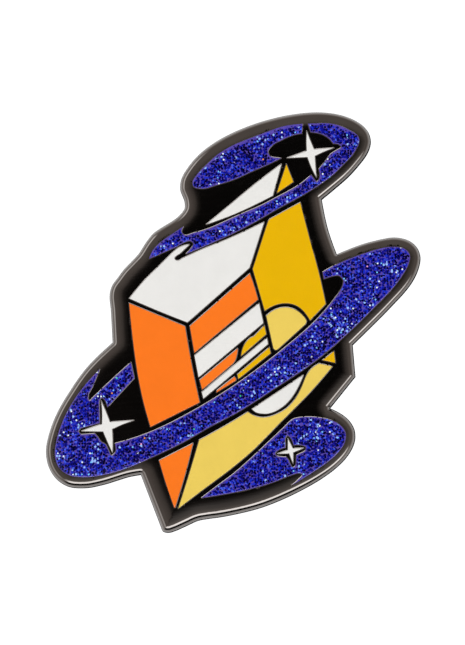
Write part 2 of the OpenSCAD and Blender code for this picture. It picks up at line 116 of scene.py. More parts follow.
def smooth_loop(loop, step):
    """The outline with its curves drawn finely. A turn that is too sharp for the lengths of its sides
    to be part of a curve stays a corner, and a side much longer than its neighbour stays straight."""
    long, sharpest, least, bulge, bend = 2.2, math.radians(85), math.radians(16), 0.034, math.radians(4)
    side = np.roll(loop, -1, 0) - loop
    length = np.linalg.norm(side, axis=1)
    way = unit(side)
    before, back = np.roll(way, 1, 0), np.roll(length, 1)
    turn = abs(between(before, way))
    heading = unit(before * length[:, None] + way * back[:, None])
    heading = np.where((length > long * back)[:, None], way, heading)
    heading = np.where((back > long * length)[:, None], before, heading)
    bow = turn * np.minimum(length, back) / 8
    sharp = (turn > sharpest) | ((turn > least) & (bow > bulge))
    out = []
    for i in range(len(loop)):
        j = (i + 1) % len(loop)
        u = way[i] if sharp[i] and sharp[j] else heading[i]
        v = way[i] if sharp[i] and sharp[j] else heading[j]
        if sharp[i] and not sharp[j]:
            u = unit(3 * way[i] - v)
        if sharp[j] and not sharp[i]:
            v = unit(3 * way[i] - u)
        swing = abs(between(u, way[i])) + abs(between(way[i], v))
        pieces = max(1, math.ceil(length[i] / step), math.ceil(swing / bend))
        for q in np.arange(pieces) / pieces:
            out.append(loop[i] * (2 * q**3 - 3 * q**2 + 1) + loop[j] * (3 * q**2 - 2 * q**3)
                       + length[i] * (u * (q**3 - 2 * q**2 + q) + v * (q**3 - q**2)))
    return np.array(out)


def left_normals(loop):
    """At each point the direction square to the outline, to its left, and half the turn there."""
    ahead = unit(np.roll(loop, -1, 0) - loop)
    behind = np.roll(ahead, 1, 0)
    half = between(behind, ahead) / 2
    along = unit(ahead + behind)
    return np.stack([-along[:, 1], along[:, 0]], 1), half


def inset(loop, distance):
    normal, half = left_normals(loop)
    return loop + normal * (distance / np.maximum(np.cos(half), 0.3))[:, None]


class Edge:
    """The distance from points to a set of outlines."""

    def __init__(self, loops):
        self.a = np.concatenate(loops)
        self.b = np.concatenate([np.roll(loop, -1, 0) for loop in loops])
        self.c = np.concatenate([np.roll(loop, 1, 0) for loop in loops])
        self.tree = kdtree.KDTree(len(self.a))
        for i, p in enumerate(self.a):
            self.tree.insert((p[0], p[1], 0), i)
        self.tree.balance()

    def distance(self, points):
        """(distance, direction away from the outline) of each point."""
        near = np.array([[i for _, i, _ in self.tree.find_n((p[0], p[1], 0), 3)] for p in points])
        best = np.full(len(points), 1e9)
        foot = np.zeros((len(points), 2))
        for k in range(3):
            for end in (self.b, self.c):
                a, b = self.a[near[:, k]], end[near[:, k]]
                t = ((points - a) * (b - a)).sum(1) / np.maximum(((b - a) ** 2).sum(1), 1e-12)
                q = a + (b - a) * t.clip(0, 1)[:, None]
                d = np.linalg.norm(points - q, axis=1)
                foot = np.where((d < best)[:, None], q, foot)
                best = np.minimum(best, d)
        return best, unit(points - foot)


def offset_points(loop, distance, edge):
    """Points at this distance to the left of an outline, with arcs round its inner corners."""
    normal, half = left_normals(loop)
    out = []
    for p, n, h in zip(loop, normal, half):
        if h * distance < 0 and abs(h) > math.radians(6):
            for t in np.linspace(-h, h, max(2, math.ceil(abs(h) / math.radians(8)))):
                c, s = math.cos(t), math.sin(t)
                out.append(p + distance * np.array([n[0] * c - n[1] * s, n[0] * s + n[1] * c]))
        else:
            out.append(p + n * distance / max(math.cos(h), 0.3))
    out = np.array(out)
    found = edge.distance(out)[0]
    return out[abs(found - abs(distance)) < 0.02 * abs(distance) + 1e-4]


def inside(points, loops):
    """Which points are inside an odd number of the loops."""
    odd = np.zeros(len(points), bool)
    for loop in loops:
        a, b = loop, np.roll(loop, -1, 0)
        for (x0, y0), (x1, y1) in zip(a, b):
            if y0 != y1:
                rows = (points[:, 1] > y0) != (points[:, 1] > y1)
                cut = x0 + (points[:, 1] - y0) * (x1 - x0) / (y1 - y0)
                odd ^= rows & (points[:, 0] < cut)
    return odd


def grid_points(loops, spacing, seed):
    """A loose grid of points inside the loops."""
    everything = np.concatenate(loops)
    lo, hi = everything.min(0), everything.max(0)
    rows = np.arange(lo[1], hi[1], spacing * 0.87)
    rng = np.random.default_rng(seed)
    points = np.array([(x + spacing / 2 * (i % 2), y) for i, y in enumerate(rows)
                       for x in np.arange(lo[0], hi[0], spacing)])
    points += rng.uniform(-0.1, 0.1, points.shape) * spacing
    return points[inside(points, loops)]


def thin_out(points, gap):
    """Drops each point that is nearer than gap to one already kept."""
    tree = kdtree.KDTree(len(points))
    for i, p in enumerate(points):
        tree.insert((p[0], p[1], 0), i)
    tree.balance()
    dropped = set()
    for i, p in enumerate(points):
        if i not in dropped:
            dropped.update(j for _, j, _ in tree.find_range((p[0], p[1], 0), gap) if j > i)
    return points[[i for i in range(len(points)) if i not in dropped]]


def fill(loops, extra):
    """Triangles of the area inside the loops. Returns (points, triangles); the loops' own points
    come first, in order."""
    points = np.concatenate(loops + [extra]) if len(extra) else np.concatenate(loops)
    sides, start = [], 0
    for loop in loops:
        n = len(loop)
        sides += [(start + i, start + (i + 1) % n) for i in range(n)]
        start += n
    made = delaunay_2d_cdt([Vector(p) for p in points], sides, [], 0, 1e-7)
    co = np.array([tuple(p) for p in made[0]])
    assert len(co) == len(points), "the outlines cross or touch"
    place = np.empty(len(points), int)
    for new, old in enumerate(made[3]):
        place[old[0]] = new
    order = np.empty(len(points), int)
    order[place] = np.arange(len(points))
    tri = order[np.array(made[2])]
    middle = points[tri].mean(1)
    tri = tri[inside(middle, loops)]
    a, b, c = (points[tri[:, i]] for i in range(3))
    flipped = (b - a)[:, 0] * (c - a)[:, 1] - (b - a)[:, 1] * (c - a)[:, 0] < 0
    tri[flipped] = tri[flipped][:, ::-1]
    return points, tri


# ------------------------------------------------------------------ the polished face
# The side leans in, as (distance in from the silhouette, depth). From where it ends the edge is
# tumbled round and a shallow roll-off runs on inward, as (distance in, tilt from the face in degrees).
SIDE = [(0.06, 0.0), (0.0, 0.07), (0.03, 0.36), (0.10, 0.648)]
TUMBLED = [(0.10, 66), (0.22, 58), (0.31, 48), (0.39, 38), (0.47, 30), (0.54, 25), (0.61, 20),
           (0.68, 15), (0.74, 8.5), (0.88, 7), (1.15, 5.8), (1.45, 3.8), (1.75, 1.3), (2.1, 0.3),
           (2.4, 0)]
FOOT_V = [(-24.0, 0.2), (-10.0, 0.0)]  # (v, how much broader the rim's rounding is there)
FOOT_U = [(7.0, 1.0), (14.0, 0.0)]  # (u, the share of this that is there)
RIGHT_U = [(6.0, 0.0), (14.0, 0.18)]  # (u, how much narrower the rim's rounding is there)
# The bevel that polishing leaves round a cell: its width, its slope and how much of it is rounded
LIP_W, LIP_SLOPE, LIP_SOFT = 0.10, math.tan(math.radians(24)), 0.3
CLEAR = 0.002  # the enamel's skin stays this far clear of its cell's floor and of the metal's level


def rim_section():
    """(distance in, depth) down the tumbled edge, ending level with the face."""
    depth, out = PLATE_T, []
    for (s0, tilt), (s1, _) in reversed(list(zip(TUMBLED, TUMBLED[1:]))):
        out.append((s1, depth))
        depth -= (s1 - s0) * math.tan(math.radians(tilt))
    return np.array([(TUMBLED[0][0], depth)] + out[::-1])


RIM = rim_section()
SIDE[-1] = tuple(RIM[0])  # the side ends where the tumbled edge starts
RIM_TILT = np.radians([tilt for _, tilt in TUMBLED])
RIM_MID = np.array([(a[0] + b[0]) / 2 for a, b in zip(TUMBLED, TUMBLED[1:])] + [2.6])

silhouette = smooth_loop(flat_loops("metal_base", 0)[0], 0.22)
cell_loops = {n: [smooth_loop(loop, 0.25) for loop in flat_loops(n, PLATE_T)] for n in CELLS}
rim_edge = Edge([silhouette])
cell_edge = Edge([loop for loops in cell_loops.values() for loop in loops])


def broadened(points):
    """How broad the rim's rounding is at points, as a factor, and the depth where its side ends."""
    u, v = points.T
    foot = np.interp(v, *zip(*FOOT_V)) * np.interp(u, *zip(*FOOT_U))
    broad = 1 + foot - np.interp(u, *zip(*RIGHT_U))
    return broad, PLATE_T - (PLATE_T - RIM[0, 1]) * broad


def face(points, wave=0.0, seed=0):
    """(depth, normal, distance from the nearest cell's edge) of the polished face at points. wave is
    the height of the slight ripple that polishing leaves."""
    s, away = rim_edge.distance(points)
    broad, _ = broadened(points)
    s = RIM[0, 0] + (s - RIM[0, 0]) / broad
    depth = PLATE_T - (PLATE_T - np.interp(s, RIM[:, 0], RIM[:, 1])) * broad
    slope = np.tan(np.interp(s, RIM_MID, RIM_TILT))
    lean = -away * slope[:, None]
    c, off = cell_edge.distance(points)
    t = (1 - c / LIP_W).clip(0, 1)
    bend = (t / LIP_SOFT).clip(0, 1)
    depth = depth - LIP_SLOPE * LIP_W * (t - LIP_SOFT * bend * (1 - bend / 2))
    lean = lean - off * (LIP_SLOPE * bend)[:, None]
    if wave:
        a, b = points.T / 1.9 + seed
        depth = depth - wave * (1 + np.sin(a + 1.3 * np.sin(b)) * np.cos(0.9 * b))
    normal = unit(np.concatenate([lean[:, :1], -np.ones((len(points), 1)), lean[:, 1:]], 1))
    return depth, normal, c


def solid_points(points, depth):
    """(u, v) points at this depth as corners in metres."""
    depth = np.broadcast_to(depth, len(points))
    return np.stack([points[:, 0], -depth, points[:, 1]], 1) * MM


class Build:
    """Collects corners, faces and each face corner's normal, and makes one mesh object of them."""

    def __init__(self):
        self.co, self.faces, self.normals = [], [], []
        self.count = 0

    def add(self, co, faces, normals=None):
        """normals is one for each corner point, or None for a flat face."""
        co = np.asarray(co, float)
        for f in faces:
            if normals is None:
                a, b, c = co[f[0]], co[f[1]], co[f[2]]
                n = unit(np.cross(b - a, c - a))
                self.normals += [n] * len(f)
            else:
                self.normals += [normals[i] for i in f]
            self.faces.append([i + self.count for i in f])
        self.co.append(co)
        self.count += len(co)

    def object(self, name, material):
        mesh = bpy.data.meshes.new(name)
        co = np.concatenate(self.co)
        mesh.from_pydata(co.tolist(), [], self.faces)
        mesh.polygons.foreach_set("use_smooth", [True] * len(mesh.polygons))
        mesh.materials.append(material)
        mesh.normals_split_custom_set([tuple(n) for n in self.normals])
        piece = bpy.data.objects.new(name, mesh)
        bpy.context.scene.collection.objects.link(piece)
        return piece


def strip(count, rows):
    """Quads between closed rows of count points each."""
    return [(r * count + i, r * count + (i + 1) % count,
             (r + 1) * count + (i + 1) % count, (r + 1) * count + i)
            for r in range(rows - 1) for i in range(count)]


def wall(build, loop, depth_a, depth_b, outward):
    """A wall along a closed loop between two depths. outward is 1 if it looks to the loop's right."""
    normal, _ = left_normals(loop)
    n = np.stack([normal[:, 0], np.zeros(len(loop)), normal[:, 1]], 1) * -outward
    co = np.concatenate([solid_points(loop, depth_a), solid_points(loop, depth_b)])
    faces = strip(len(loop), 2)
    if outward > 0:
        faces = [f[::-1] for f in faces]
    build.add(co, faces, np.concatenate([n, n]))


def flat_area(build, loops, depth, rear=False, extra=np.empty((0, 2))):
    """A flat area inside the loops. rear says that it looks backwards."""
    points, tri = fill(loops, extra)
    build.add(solid_points(points, depth), [t[::-1] if rear else t for t in tri.tolist()])


def fit(piece, body, node):
    """Hands a finished piece to the frame."""
    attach(piece, body)
    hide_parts(node)


# ------------------------------------------------------------------ materials
class Nodes:
    """A material's node tree with short calls for the nodes that the recipes below use."""

    def __init__(self, name):
        self.material = bpy.data.materials.new(name)
        self.material.use_nodes = True
        self.tree = self.material.node_tree
        self.shader = self.tree.nodes["Principled BSDF"]

    def link(self, value, socket):
        if isinstance(value, bpy.types.NodeSocket):
            self.tree.links.new(value, socket)
        else:
            socket.default_value = value

    def node(self, kind, **settings):
        made = self.tree.nodes.new("ShaderNode" + kind)
        for key, value in settings.items():
            setattr(made, key, value)
        return made

    def place(self, scale=(1, 1, 1), turn=0.0):
        """The place on the object in millimetres, turned about Y, then stretched."""
        where = self.node("TexCoord").outputs["Object"]
        spin = self.node("Mapping")
        self.link(where, spin.inputs["Vector"])
        self.link((0, turn, 0), spin.inputs["Rotation"])
        size = self.node("Mapping")
        self.link(spin.outputs[0], size.inputs["Vector"])
        self.link(tuple(s / MM for s in scale), size.inputs["Scale"])
        return size.outputs[0]

    def flat_place(self, shift):
        """The place in the plane of the face in millimetres, as (u, v, 0)."""
        parts = self.node("SeparateXYZ")
        self.link(self.place(), parts.inputs[0])
        whole = self.node("CombineXYZ")
        for axis, add in ((0, shift[0]), (2, shift[1])):
            moved = self.math("ADD", parts.outputs[axis], add)
            self.link(moved, whole.inputs[0 if axis == 0 else 1])
        return whole.outputs[0]

    def noise(self, where, scale, detail=2.0, rough=0.5):
        made = self.node("TexNoise")
        self.link(where, made.inputs["Vector"])
        self.link(scale, made.inputs["Scale"])
        self.link(detail, made.inputs["Detail"])
        self.link(rough, made.inputs["Roughness"])
        return made.outputs["Fac"]

    def cells(self, where, scale):
        made = self.node("TexVoronoi", voronoi_dimensions="2D")
        self.link(where, made.inputs["Vector"])
        self.link(scale, made.inputs["Scale"])
        return made

    def math(self, operation, a, b=0.0, clamp=False):
        made = self.node("Math", operation=operation, use_clamp=clamp)
        self.link(a, made.inputs[0])
        self.link(b, made.inputs[1])
        return made.outputs[0]

    def fade(self, value, start, end, low=0.0, high=1.0):
        """low before start and high after end."""
        made = self.node("MapRange", interpolation_type="SMOOTHSTEP")
        self.link(value, made.inputs["Value"])
        for key, number in (("From Min", start), ("From Max", end), ("To Min", low), ("To Max", high)):
            self.link(number, made.inputs[key])
        return made.outputs[0]

    def mix(self, amount, a, b):
        made = self.node("Mix", data_type="RGBA")
        self.link(amount, made.inputs[0])
        self.link(a, made.inputs[6])
        self.link(b, made.inputs[7])
        return made.outputs[2]

    def steps(self, value, colours):
        """A colour for each stretch of value, from [(start, colour)]."""
        made = self.node("ValToRGB")
        made.color_ramp.interpolation = "CONSTANT"
        ramp = made.color_ramp.elements
        while len(ramp) < len(colours):
            ramp.new(0.5)
        for element, (start, colour) in zip(ramp, colours):
            element.position = start
            element.color = (*colour, 1)
        self.link(value, made.inputs[0])
        return made.outputs[0]

    def bump(self, height, strength, distance, normal=None):
        made = self.node("Bump")
        self.link(strength, made.inputs["Strength"])
        self.link(distance, made.inputs["Distance"])
        self.link(height, made.inputs["Height"])
        if normal is not None:
            self.link(normal, made.inputs["Normal"])
        return made.outputs[0]

    def attribute(self, name):
        return self.node("Attribute", attribute_name=name).outputs["Fac"]

    def set(self, **sockets):
        for key, value in sockets.items():
            self.link(value, self.shader.inputs[key.replace("_", " ")])
        return self.material


def rgb(r, g, b):
    """An sRGB colour from 0 to 255 as linear values."""
    return tuple((c / 255 / 12.92) if c <= 10 else ((c / 255 + 0.055) / 1.055) ** 2.4
                 for c in (r, g, b))


def black_nickel():
    m = Nodes("black_nickel")
    tilt = math.radians(6)
    streaks = m.noise(m.place((0.35, 1, 5), turn=tilt), 1.0, 4.0, 0.65)
    smudge = m.noise(m.place(), 0.22, 3.0)
    grain = m.noise(m.place((0.8, 1, 9), turn=tilt), 1.6, 3.0, 0.7)
    layers = m.noise(m.place((0.15, 9, 0.15)), 1.0, 3.0, 0.7)
    colour = m.mix(m.fade(smudge, 0.35, 0.7), (0.165, 0.154, 0.147, 1), (0.185, 0.173, 0.165, 1))
    colour = m.mix(m.fade(streaks, 0.55, 0.8, 0.0, 0.3), colour, (0.22, 0.21, 0.205, 1))
    parts = m.node("SeparateXYZ")
    m.link(m.node("NewGeometry").outputs["Normal"], parts.inputs[0])
    upright = m.fade(m.math("ABSOLUTE", parts.outputs[1]), 0.35, 0.75, 1.0, 0.0)
    rough = m.fade(streaks, 0.35, 0.75, 0.03, 0.10)
    rough = m.math("ADD", rough, m.math("MULTIPLY", upright, 0.2))
    rear = m.fade(parts.outputs[1], 0.7, 0.95)
    rough = m.math("ADD", rough, m.math("MULTIPLY", rear, 0.26))
    blasted = m.math("MULTIPLY", m.noise(m.place(), 6.0, 3.0, 0.7), rear)
    bump = m.bump(m.math("MULTIPLY", layers, upright), 0.5, 0.02 * MM)
    bump = m.bump(m.math("ADD", grain, streaks), 0.16, 0.012 * MM, bump)
    bump = m.bump(blasted, 0.8, 0.03 * MM, bump)
    return m.set(Base_Color=colour, Metallic=1.0, Roughness=rough, Normal=bump)


def enamel(name, colour, speck):
    """Polished hard enamel: an even colour with slight clouding, pinholes and a fine polish grain, and
    painted shade along its edges where it meets the metal.
    """
    m = Nodes(name)
    cloud = m.noise(m.place(), 0.35, 4.0, 0.55)
    dust = m.noise(m.place(), 9.0, 2.0, 0.6)
    shade = tuple(c * 0.965 for c in colour)
    base = m.mix(m.fade(cloud, 0.3, 0.75), (*colour, 1), (*shade, 1))
    base = m.mix(m.fade(dust, 0.62, 0.8, 0.0, 0.3), base, (*speck, 1))
    # Painted shade: the enamel's colour darkens towards its edge, where it meets the metal.
    seam_shade = m.fade(m.attribute("edge"), 0.0, 0.05, 0.5, 0.0)
    base = m.mix(seam_shade, base, (*(c * 0.35 for c in colour), 1))
    grain = m.noise(m.place((0.6, 1, 7), turn=math.radians(-35)), 3.0, 3.0, 0.7)
    rough = m.fade(grain, 0.3, 0.8, 0.05, 0.12)
    bump = m.bump(grain, 0.06, 0.01 * MM)
    return m.set(Base_Color=base, Roughness=rough, Normal=bump)


# The flakes' tones: partly the glitter's own blues, partly painted reflection, dark and light, standing
# in for mirror flakes that reflect their surroundings.
FLAKE_TONES_AND_REFLECTIONS = [(0.0, rgb(3, 2, 40)), (0.25, rgb(8, 7, 88)), (0.50, rgb(16, 18, 140)),
          (0.74, rgb(28, 44, 190)), (0.91, rgb(66, 90, 224)), (0.975, rgb(150, 190, 250))]
# Painted glints: white, pale blue and a few coloured tones for flakes that catch the light.
PAINTED_GLINTS = [(0.0, rgb(70, 120, 250)), (0.25, rgb(120, 200, 255)), (0.5, rgb(240, 252, 255)),
          (0.93, rgb(250, 170, 215)), (0.96, rgb(60, 200, 120)), (0.98, rgb(240, 150, 60))]


def glitter():
    """Lilac enamel crowded with round blue flakes in layers under a clear polished coat, with painted
    glints on a few flakes and painted reflection in the flakes' tones.
    """
    m = Nodes("glitter_enamel")
    patch = m.noise(m.place(), 0.5, 2.0)
    edge = m.attribute("edge")
    lift = m.math("MULTIPLY", m.math("SUBTRACT", patch, 0.5), 0.45)
    colour = m.mix(patch, (*rgb(76, 62, 156), 1), (*rgb(98, 82, 184), 1))
    fine = m.noise(m.place(), 5.0, 2.0)
    colour = m.mix(m.fade(fine, 0.35, 0.7, 0.0, 0.4), colour, (*rgb(70, 50, 140), 1))
    # each layer: the spacing and radius of its flakes, the share that is there, and a shift
    layers = [(0.36, 0.150, 0.8, (3.1, 8.7)), (0.34, 0.148, 0.9, (31.7, 12.9)),
              (0.33, 0.142, 1.0, (-9.3, 40.1))]
    for spacing, radius, share, shift in layers:
        layer = m.cells(m.flat_place(shift), 1 / spacing)
        pick = m.node("SeparateColor")
        m.link(layer.outputs["Color"], pick.inputs[0])
        # Each flake's tone, partly painted reflection.
        shade = m.steps(m.math("ADD", pick.outputs[0], lift, clamp=True), FLAKE_TONES_AND_REFLECTIONS)
        there = m.fade(pick.outputs[1], share, share + 0.01, 1.0, 0.0)
        away = m.fade(m.math("SUBTRACT", edge, m.math("MULTIPLY", pick.outputs[2], 0.13)), 0.01, 0.05)
        soft, end = (radius - 0.02) / spacing, (radius + 0.01) / spacing
        disc = m.fade(layer.outputs["Distance"], soft, end, 1.0, 0.0)
        colour = m.mix(m.math("MULTIPLY", m.math("MULTIPLY", disc, there), away), colour, shade)
    # Painted glints: a few flakes get a bright base colour that stands in for the light that they
    # mirror.
    glint_spots = m.cells(m.flat_place((17.0, -23.4)), 1 / 0.36)
    pick = m.node("SeparateColor")
    m.link(glint_spots.outputs["Color"], pick.inputs[0])
    there = m.fade(m.math("ADD", pick.outputs[1], lift), 0.95, 0.955)
    disc = m.fade(glint_spots.outputs["Distance"], 0.20, 0.34, 1.0, 0.0)
    painted_glint = m.steps(pick.outputs[2], PAINTED_GLINTS)
    colour = m.mix(m.math("MULTIPLY", there, disc), colour, painted_glint)
    wobble = m.bump(m.noise(m.place(), 0.8, 3.0), 0.08, 0.02 * MM)
    return m.set(Base_Color=colour, Roughness=0.5, Specular_IOR_Level=0.0, Coat_Weight=1.0,
                 Coat_Roughness=0.05, Coat_IOR=1.5, Coat_Normal=wobble)


def worn_metal(name, colour, rough, rolled, grain_size=1.0):
    """Plated or bare metal with handling marks, fine scratches and dull patches. rolled says that
    the grain runs along x, as on rolled strip."""
    m = Nodes(name)
    patches = m.noise(m.place(), 0.7, 4.0, 0.6)
    fine = m.noise(m.place((0.5, 8, 8) if rolled else (3, 3, 3)), 1.2 * grain_size, 3.0, 0.65)
    marks = m.noise(m.place((9, 1, 1.5), turn=math.radians(31)), 0.8, 2.0, 0.6)
    scratch = m.fade(marks, 0.66, 0.72)
    dull = tuple(c * 0.78 for c in colour)
    base = m.mix(m.fade(patches, 0.4, 0.72), (*colour, 1), (*dull, 1))
    base = m.mix(m.math("MULTIPLY", scratch, 0.3), base, (*(c * 0.6 for c in colour), 1))
    spread = m.math("ADD", m.fade(patches, 0.35, 0.75, rough * 0.75, rough * 1.5),
                    m.fade(fine, 0.4, 0.8, 0.0, 0.08))
    bump = m.bump(fine, 0.25, 0.012 * MM)
    bump = m.bump(scratch, 0.3, 0.006 * MM, bump)
    return m.set(Base_Color=base, Metallic=1.0, Roughness=spread, Normal=bump)


METAL = black_nickel()
POST_METAL = worn_metal("black_nickel_post", (0.19, 0.178, 0.17), 0.16, False, 2.0)
SOLDER = worn_metal("solder", (0.42, 0.42, 0.41), 0.42, False, 3.0)
NICKEL = worn_metal("nickel_plate", (0.66, 0.635, 0.59), 0.17, False)
SPRING = worn_metal("spring_steel", (0.52, 0.52, 0.515), 0.24, True)
FINISH = {"glitter": glitter(),
          "white": enamel("white_enamel", (0.80, 0.79, 0.765), (0.72, 0.70, 0.66)),
          "gold": enamel("gold_enamel", (0.79, 0.445, 0.001), (0.70, 0.38, 0.001)),
          "cream": enamel("cream_enamel", (0.82, 0.60, 0.11), (0.75, 0.53, 0.09)),
          "orange": enamel("orange_enamel", (0.95, 0.188, 0.014), (0.86, 0.16, 0.012))}


# ------------------------------------------------------------------ the pin's front
def metal_base():
    """The base as one closed skin: rim and side wall, face, cell pockets, back and spot faces."""
    body = Build()
    rows = [inset(silhouette, d) for d, _ in SIDE]
    outward = -left_normals(silhouette)[0]
    tilts = [math.radians(t) for t in (-45, 0, 8, 18)]
    _, edge_depth = broadened(silhouette)
    co, normals = [], []
    for row, (_, depth), tilt in zip(rows, SIDE, tilts):
        co.append(solid_points(row, edge_depth * depth / RIM[0, 1]))
        normals.append(np.stack([outward[:, 0] * math.cos(tilt), np.full(len(row), -math.sin(tilt)),
                                 outward[:, 1] * math.cos(tilt)], 1))
    faces = [f[::-1] for f in strip(len(silhouette), len(SIDE))]
    edge_row = rows[-1]
    top_loops = [edge_row] + [loop for loops in cell_loops.values() for loop in loops]
    extra = [offset_points(silhouette, d, rim_edge) for d in RIM[1:, 0]]
    for loop in top_loops[1:]:
        for d in (LIP_W * 0.33, LIP_W * 0.66, LIP_W):
            extra.append(offset_points(loop, d, cell_edge))
            extra.append(offset_points(loop, -d, cell_edge))
    extra = np.concatenate(extra + [grid_points([silhouette], 0.8, 1)])
    extra = extra[inside(extra, top_loops)]
    s, c = rim_edge.distance(extra)[0], cell_edge.distance(extra)[0]
    extra = thin_out(extra[(s > RIM[0, 0] + 0.05) & (c > LIP_W * 0.3)], 0.025)
    points, tri = fill(top_loops, extra)
    depth, normal, _ = face(points)
    n = len(edge_row)
    depth[:n] = edge_depth
    normal[:n] = normals[-1]
    body.add(np.concatenate(co), faces, np.concatenate(normals))
    body.add(solid_points(points, depth), tri.tolist(), normal)
    start = n
    for name, loops in cell_loops.items():
        for k, loop in enumerate(loops):
            wall(body, loop, depth[start:start + len(loop)], CELL_DEPTH, -1 if k == 0 else 1)
            start += len(loop)
        flat_area(body, loops, CELL_DEPTH)
    back = [rows[0]]
    for loop in flat_loops("metal_base", 0)[1:]:
        spot = smooth_loop(loop, 0.3)
        back.append(spot)
        wall(body, spot, SPOT_DEPTH, 0, -1)
        flat_area(body, [spot], SPOT_DEPTH, rear=True)
    flat_area(body, back, 0.0, rear=True, extra=grid_points([rows[0]], 2.5, 2))
    return body.object("metal_base_skin", METAL)


# Along the edges of glitter that face up and to the left, the flakes lie thinner by this much
SETTLED = {"glitter_upper_left": 2.6, "glitter_upper_band": 1.2, "glitter_middle_ring": 0.5,
           "glitter_lower": 1.0}
UP_LEFT = np.array([-0.35, 0.94])


def enamel_cell(name, kind, seed):
    """One cell of enamel, polished level with the metal, as a closed solid."""
    body = Build()
    loops = cell_loops[name]
    own = Edge(loops)
    extra = []
    for loop in loops:
        for d in (LIP_W * 0.5, LIP_W, 0.18, 0.35):
            extra += [offset_points(loop, d, own), offset_points(loop, -d, own)]
    extra = np.concatenate(extra + [grid_points([loops[0]], 0.9, seed)])
    extra = extra[inside(extra, loops)]
    extra = extra[own.distance(extra)[0] > LIP_W * 0.4]
    points, tri = fill(loops, thin_out(extra, 0.03))
    depth, normal, gap = face(points, 0.0012, seed)
    if kind == "glitter":
        gap = gap / (1 + SETTLED[name] * (-own.distance(points)[1] @ UP_LEFT).clip(0, 1))
    body.add(solid_points(points, depth - CLEAR), tri.tolist(), normal)
    start = 0
    for k, loop in enumerate(loops):
        top = depth[start:start + len(loop)] - CLEAR
        wall(body, loop, top, CELL_DEPTH + CLEAR, 1 if k == 0 else -1)
        start += len(loop)
    flat_area(body, loops, CELL_DEPTH + CLEAR, rear=True)
    piece = body.object(name + "_fill", FINISH[kind])
    edge = piece.data.attributes.new("edge", "FLOAT", "POINT")
    values = np.zeros(len(piece.data.vertices), np.float32)
    values[:len(gap)] = gap
    edge.data.foreach_set("value", values)
    return piece


fit(metal_base(), "pin", "metal_base")
for kind, names in (("glitter", GLITTER), ("white", WHITE), ("gold", GOLD), ("cream", CREAM),
                    ("orange", ORANGE)):
    for number, name in enumerate(names):
        fit(enamel_cell(name, kind, 10 + number), "pin", name)

# ------------------------------------------------------------------ posts and clutches
# Each of these is drawn about its post: x sideways, y upright and z outward from the back face.
SHEET = 0.35              # sheet of the disc and cover
STRIP_T = 0.3             # spring strip
CLUTCH_R = (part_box("upper_clutch_disc")[1].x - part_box("upper_clutch_disc")[0].x) / 2 / MM
CLUTCH_H = (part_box("upper_clutch_cover")[1].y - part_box("upper_clutch_disc")[0].y) / MM - 0.12
WALL = 1.95               # inner face of the cover's side walls
HINGE_X, HINGE_Z = 2.45, 1.25


def on_post(points, centre):
    """Local millimetres to metres. centre is the post's centre as a point of the CAD."""
    points = np.asarray(points, float)
    return np.stack([points[:, 0], points[:, 2], -points[:, 1]], 1) * MM + np.array(centre)


def shaped(name, pieces, material, sharp=38):
    """One mesh object of several closed pieces, each (points in metres, faces)."""
    co, faces, start = [], [], 0
    for points, some in pieces:
        co.append(points)
        faces += [[i + start for i in f] for f in some]
        start += len(points)
    mesh = bpy.data.meshes.new(name)
    mesh.from_pydata(np.concatenate(co).tolist(), [], faces)
    work = bmesh.new()
    work.from_mesh(mesh)
    bmesh.ops.remove_doubles(work, verts=work.verts, dist=1e-7)
    bmesh.ops.dissolve_degenerate(work, edges=work.edges, dist=1e-8)
    bmesh.ops.recalc_face_normals(work, faces=work.faces)
    work.to_mesh(mesh)
    work.free()
    mesh.polygons.foreach_set("use_smooth", [True] * len(mesh.polygons))
    mesh.set_sharp_from_angle(angle=math.radians(sharp))
    mesh.materials.append(material)
    piece = bpy.data.objects.new(name, mesh)
    bpy.context.scene.collection.objects.link(piece)
    return piece


def soften(profile, radius):
    """A closed profile with its corners rounded, as a denser list of points."""
    out = []
    n = len(profile)
    for i, p in enumerate(profile):
        a, b, c = (np.array(profile[j % n], float) for j in (i - 1, i, i + 1))
        cut = min(radius, np.linalg.norm(b - a) * 0.45, np.linalg.norm(c - b) * 0.45)
        p0, p1 = b + (a - b) / np.linalg.norm(a - b) * cut, b + (c - b) / np.linalg.norm(c - b) * cut
        for t in (0, 0.35, 0.65, 1):
            out.append(p0 * (1 - t)**2 + b * 2 * t * (1 - t) + p1 * t**2)
    return out


def lathe(profile, count, wobble=None):
    """A closed profile of (radius, z) turned about the z axis. Points at radius 0 become one."""
    profile = np.array(profile)
    angles = np.arange(count) * math.tau / count
    points = np.array([(r * math.cos(a), r * math.sin(a), z) for r, z in profile for a in angles])
    if wobble:
        points = wobble(points)
    rows = len(profile)
    faces = [(r * count + i, r * count + (i + 1) % count,
              (r + 1) % rows * count + (i + 1) % count, (r + 1) % rows * count + i)
             for r in range(rows) for i in range(count)]
    return points, faces


def rod(x, z, radius, half):
    """A round bar along y with softened ends."""
    profile = [(0.001, -half), (radius, -half), (radius, half), (0.001, half)]
    points, faces = lathe(soften(profile, 0.06), 32)
    return np.stack([points[:, 0] + x, points[:, 2], points[:, 1] + z], 1), faces


